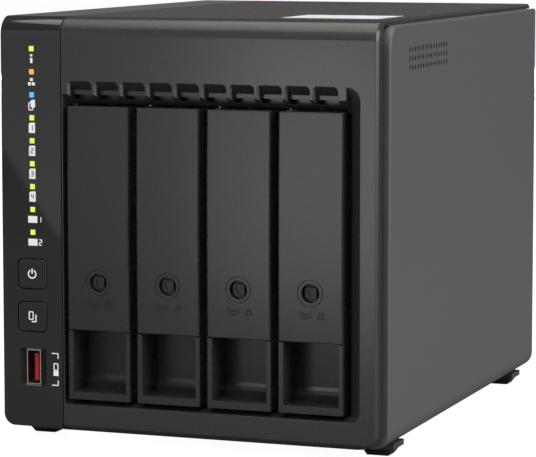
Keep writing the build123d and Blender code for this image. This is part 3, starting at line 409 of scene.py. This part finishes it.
def bar(start, end, width):
    """A straight stroke between two points."""
    along = Vector((end[0] - start[0], end[1] - start[1])).normalized() * width / 2
    across = Vector((-along.y, along.x))
    first, last = Vector(start), Vector(end)
    return [tuple(first - across), tuple(last - across), tuple(last + across), tuple(first + across)]


def block(middle, size):
    """A filled rectangle."""
    x, z = middle
    width, height = size
    return bar((x - width / 2, z), (x + width / 2, z), height)


def arc(middle, radius, width, first, last):
    """The part of a ring between two angles in degrees, as strokes of about 20 degrees."""
    count = round((last - first) / 20)
    angles = [math.radians(first + (last - first) * step / count) for step in range(count + 1)]
    points = [(middle[0] + radius * math.cos(a), middle[1] + radius * math.sin(a)) for a in angles]
    return [bar(start, end, width) for start, end in zip(points, points[1:])]


def frame_of_bars(middle, size, width):
    """The four strokes round a rectangle."""
    x, z = middle
    right, top = size[0] / 2, size[1] / 2
    corners = [(x - right, z - top), (x + right, z - top), (x + right, z + top), (x - right, z + top)]
    return [bar(a, b, width) for a, b in zip(corners, corners[1:] + corners[:1])]


def sheet(middle, size, cut):
    """A filled page with its top left corner cut off."""
    x, z = middle
    right, top = size[0] / 2, size[1] / 2
    return [
        (x - right, z - top),
        (x + right, z - top),
        (x + right, z + top),
        (x - right + cut, z + top),
        (x - right, z + top - cut),
    ]


# The strokes of each numeral, lettered clockwise from the top one, with the middle one last.
SEGMENTS = {1: "bc", 2: "abged", 3: "abgcd", 4: "fgbc"}


def digit(number, middle, size, width):
    """A numeral made of straight strokes. A 1 has only its right side, so it is moved towards the middle."""
    x, z = middle
    right, top = size[0] / 2, size[1] / 2
    if number == 1:
        x -= right / 2
    ends = {
        "a": ((x - right, z + top), (x + right, z + top)),
        "b": ((x + right, z + top), (x + right, z)),
        "c": ((x + right, z), (x + right, z - top)),
        "d": ((x + right, z - top), (x - right, z - top)),
        "e": ((x - right, z - top), (x - right, z)),
        "f": ((x - right, z), (x - right, z + top)),
        "g": ((x - right, z), (x + right, z)),
    }
    return [bar(*ends[letter], width) for letter in SEGMENTS[number]]


def surface_y(node, x, z):
    """How far forward the front of a CAD node is at one place, in metres."""
    _, spot, _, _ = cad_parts[node].ray_cast(Vector((x * MM, -1, z * MM)), Vector((0, 1, 0)))
    return spot.y


def lay_stroke(shape, node, corners, raise_mm):
    """Adds one flat stroke that stands raise_mm out of the node's front and is sunk a little into it."""
    front = []
    back = []
    for x, z in corners:
        y = surface_y(node, x, z)
        front.append(shape.verts.new((x * MM, y - raise_mm * MM, z * MM)))
        back.append(shape.verts.new((x * MM, y + INK_DEPTH * MM, z * MM)))
    shape.faces.new(front)
    shape.faces.new(list(reversed(back)))
    for index in range(len(corners)):
        following = (index + 1) % len(corners)
        shape.faces.new((back[index], back[following], front[following], front[index]))


def print_marks(name, node, body, strokes, material, raise_mm=INK_DEPTH):
    """Lays strokes of ink on the front of a CAD node, whose body they then move with."""
    shape = bmesh.new()
    for corners in strokes:
        lay_stroke(shape, node, corners, raise_mm)
    bmesh.ops.recalc_face_normals(shape, faces=shape.faces)
    mesh = bpy.data.meshes.new(name)
    shape.to_mesh(mesh)
    shape.free()
    mesh.materials.append(material)
    mark = bpy.data.objects.new(name, mesh)
    SCENE.collection.objects.link(mark)
    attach(mark, body)


def node_middle(node):
    """The middle of a node in mm, as (x, z)."""
    low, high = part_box(node)
    return ((low.x + high.x) / 2 / MM, (low.z + high.z) / 2 / MM)


# How far a sign stands below its light, the filled signs' sizes, and how far a digit stands beside one.
SIGN_DROP = 3.95
DRIVE_SHEET = (2.7, 4.1)
MODULE_SHEET = (4.0, 2.7)
DIGIT_SIDE = 3.3


def status_sign(x, z):
    """A dot over a short post."""
    return [block((x, z + 1.35), (1.0, 0.85)), block((x, z - 0.7), (1.0, 2.1))]


def network_sign(x, z):
    """One square above two others."""
    offsets = ((0, 0.85), (-0.85, -0.85), (0.85, -0.85))
    return [block((x + side, z + rise), (1.25, 1.25)) for side, rise in offsets]


def copy_sign(x, z):
    """A filled page in front of the outline of another."""
    page = sheet((x + 0.5, z + 0.5), (1.9, 3.0), 0.5)
    return [page] + frame_of_bars((x - 0.4, z - 0.6), (1.7, 2.8), 0.4)


def print_indicator_marks(white, dark):
    """A sign below each light: status, network, copy, four drives and two modules."""
    x, top, pitch = light_row()
    places = [(x, top - pitch * index - SIGN_DROP) for index in range(LIGHT_COUNT)]
    signs = status_sign(*places[0]) + network_sign(*places[1]) + copy_sign(*places[2])
    numbers = []
    for number, place in enumerate(places[3:7], start=1):
        signs.append(sheet(place, DRIVE_SHEET, 0.6))
        numbers += digit(number, place, (1.0, 1.9), 0.3)
    for number, place in enumerate(places[7:], start=1):
        signs.append(block(place, MODULE_SHEET))
        signs += digit(number, (place[0] + DIGIT_SIDE, place[1]), (1.0, 2.1), 0.38)
    print_marks("indicator_marks", "indicator_panel", "case", signs, white)
    print_marks("drive_numbers", "indicator_panel", "case", numbers, dark, 2 * INK_DEPTH)


def print_power_mark(white):
    """A ring that is open at the top, with a stroke in the gap."""
    x, z = node_middle("power_button")
    strokes = arc((x, z - 0.1), 1.65, 0.55, 120, 420) + [bar((x, z), (x, z + 2.1), 0.55)]
    print_marks("power_mark", "power_button", "power_button", strokes, white)


def print_copy_mark(white):
    """The outline of a page, with the edges of another below and to its right."""
    x, z = node_middle("copy_button")
    strokes = frame_of_bars((x - 0.6, z + 0.4), (1.7, 3.0), 0.42)
    strokes.append(bar((x - 0.4, z - 2.0), (x + 1.5, z - 2.0), 0.5))
    strokes.append(bar((x + 1.5, z - 2.2), (x + 1.5, z + 0.9), 0.5))
    print_marks("copy_mark", "copy_button", "copy_button", strokes, white)


# The bracket and the plug beside the front socket; their x is measured from the middle of the case.
BRACKET_LEFT = -58.9
BRACKET_RIGHT = -56.2
BRACKET_RISE = 6.4
BRACKET_HOOK = 2.0
BRACKET_STROKE = 0.42
PLUG_MIDDLE = -57.15


def print_socket_marks(white):
    """The corners of a bracket beside the front socket, with the outline of a plug between them."""
    z = node_middle("front_usb_shell")[1]
    strokes = []
    for side in (-1, 1):
        end = z + side * BRACKET_RISE
        hook = z + side * (BRACKET_RISE - BRACKET_HOOK)
        strokes.append(bar((BRACKET_LEFT, end), (BRACKET_RIGHT, end), BRACKET_STROKE))
        strokes.append(bar((BRACKET_RIGHT, end), (BRACKET_RIGHT, hook), BRACKET_STROKE))
    strokes += frame_of_bars((PLUG_MIDDLE, z + 1.0), (1.7, 2.6), 0.4)
    strokes.append(block((PLUG_MIDDLE, z - 1.6), (2.2, 2.0)))
    print_marks("socket_marks", "indicator_panel", "case", strokes, white)


PADLOCK_BODY = (2.2, 1.5)
SHACKLE_SHIFT = -1.7
LOCK_MARK_DROP = 8.4


def padlock(middle, opened):
    """A small padlock whose shackle stands to its left when it is open."""
    x, z = middle
    shift = SHACKLE_SHIFT if opened else 0.0
    shackle = arc((x + shift, z + 0.4), 0.8, 0.35, 0, 180)
    return frame_of_bars((x, z - 0.5), PADLOCK_BODY, 0.4) + shackle


def lock_height():
    """The height of the lock barrels' middle, in mm: their bolt reaches up from the round part."""
    low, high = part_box("tray_1_lock")
    return low.z / MM + (high.x - low.x) / 2 / MM


def print_lock_marks(ink):
    """An open padlock, an upright stroke and a closed padlock in a row below the lock of each handle."""
    z = lock_height() - LOCK_MARK_DROP
    for bay in BAYS:
        x = node_middle(f"tray_{bay}_handle")[0]
        strokes = padlock((x - 2.3, z), True) + padlock((x + 4.4, z), False)
        strokes.append(bar((x, z - 1.3), (x, z + 1.3), 0.35))
        print_marks(f"lock_marks_{bay}", f"tray_{bay}_handle", f"handle_{bay}", strokes, ink)


def print_all_marks():
    # The white ink glows: painted light that brightens the printed marks.
    white = printed_ink("white_ink", grey(0.78), glow=0.32)
    dark = printed_ink("dark_ink", (0.02, 0.02, 0.022))
    print_indicator_marks(white, dark)
    print_power_mark(white)
    print_copy_mark(white)
    print_socket_marks(white)
    print_lock_marks(printed_ink("grey_ink", grey(0.004), 0.7))


# ---- camera, floor and light ----

CAMERA_PLACE = Vector((393.6, -1080.9, 207.7)) * MM
CAMERA_TURN = math.radians(20.12)
CAMERA_DIP = math.radians(6.04)
CAMERA_LENS = 182.3
CAMERA_SENSOR = 36.0
CAMERA_SHIFT = (-0.0222, -0.0444)
VIEW_LIMIT = 50

ROOM_LIGHT = 0.06
FLOOR_REACH = 15.0
FLOOR_PAPER = grey(0.19)
FLOOR_GLOW = 0.96


def add_camera():
    data = bpy.data.cameras.new("camera")
    data.lens = CAMERA_LENS
    data.sensor_width = CAMERA_SENSOR
    data.shift_x, data.shift_y = CAMERA_SHIFT
    data.clip_end = VIEW_LIMIT
    camera = bpy.data.objects.new("camera", data)
    camera.location = CAMERA_PLACE
    camera.rotation_euler = Euler((math.pi / 2 - CAMERA_DIP, 0, CAMERA_TURN))
    SCENE.collection.objects.link(camera)
    SCENE.camera = camera


def floor_paper():
    """White paper lit so brightly that hardly any shadow shows, but that reflects little on the box."""
    recipe = Recipe("floor_paper", roughness=0.9)
    recipe.tint(recipe.noise(400.0), FLOOR_PAPER, 0.01)
    glow = recipe.calculate("MULTIPLY", recipe.seen_by_camera(), FLOOR_GLOW)
    recipe.set("Emission Strength", glow)
    recipe.set("Emission Color", (1, 1, 1, 1))
    return recipe.material


def add_floor():
    mesh = bpy.data.meshes.new("floor")
    shape = bmesh.new()
    bmesh.ops.create_grid(shape, x_segments=8, y_segments=8, size=FLOOR_REACH)
    shape.to_mesh(mesh)
    shape.free()
    mesh.materials.append(floor_paper())
    floor = bpy.data.objects.new("floor", mesh)
    SCENE.collection.objects.link(floor)


def add_world():
    """A white background that lights the box only a little."""
    world = bpy.data.worlds.new("studio")
    world.use_nodes = True
    nodes = Nodes(world.node_tree)
    background = world.node_tree.nodes["Background"]
    strength = nodes.calculate("MULTIPLY_ADD", nodes.seen_by_camera(), 1 - ROOM_LIGHT, ROOM_LIGHT)
    nodes.feed(background.inputs["Color"], (1, 1, 1, 1))
    nodes.feed(background.inputs["Strength"], strength)
    SCENE.world = world


def add_area(name, watts, place, target, size, roll=0.0):
    """A soft rectangular lamp at place, in metres, that faces target and that the camera can't see."""
    data = bpy.data.lights.new(name, "AREA")
    data.shape = "RECTANGLE"
    data.size, data.size_y = size
    data.energy = watts
    lamp = bpy.data.objects.new(name, data)
    lamp.location = place
    aim = (Vector(target) - Vector(place)).to_track_quat("-Z", "Y")
    lamp.rotation_euler = (aim @ Quaternion((0, 0, 1), roll)).to_euler()
    lamp.visible_camera = False
    SCENE.collection.objects.link(lamp)


def add_lamps_above():
    """The main lamp with a fainter strip along its left edge, and a weak one for the front."""
    add_area("overhead", 22.5, (0.2, -0.42, 1.3), (0.2, -0.42, 0), (1.4, 1.7))
    add_area("overhead_left", 0.9, (-0.585, -0.4, 1.3), (-0.585, -0.4, 0), (0.07, 1.4))
    add_area("upper_front", 1.5, (0, -1.3, 0.75), (0, -0.1, 0.16), (1.0, 0.7))


def add_lamps_around():
    """Lamps for the sides and the back. Only the weak one behind also shines along the top."""
    add_area("behind", 0.5, (0.2, 2.2, 0.5), (0.2, 0, 0.5), (3.0, 0.6))
    add_area("side", 82.0, (3.0, -0.3, 0.9), (0, 0, 0.1), (2.0, 2.0))
    add_area("left", 70.0, (-3.0, 1.2, 0.085), (0, 0.2, 0.085), (2.0, 0.14))
    add_area("rear", 50.0, (-1.2, 2.2, 0.085), (0, 0.1, 0.085), (2.0, 0.14))


def add_lamps_in_front():
    """Weak lamps that the gloss strip mirrors: a plain one, and one with a slanted edge."""
    add_area("front", 0.16, (-0.059, -0.45, 0.085), (-0.059, 0, 0.085), (0.118, 0.17))
    slant = math.radians(34.6)
    add_area("slanted", 0.25, (-0.352, -0.75, 0.219), (-0.352, 0, 0.219), (0.25, 0.6), slant)


SCENE.view_settings.view_transform = "Standard"
paint_plastics()
paint_metals()
paint_boards()
print_all_marks()
add_camera()
add_floor()
add_world()
add_lamps_above()
add_lamps_around()
add_lamps_in_front()
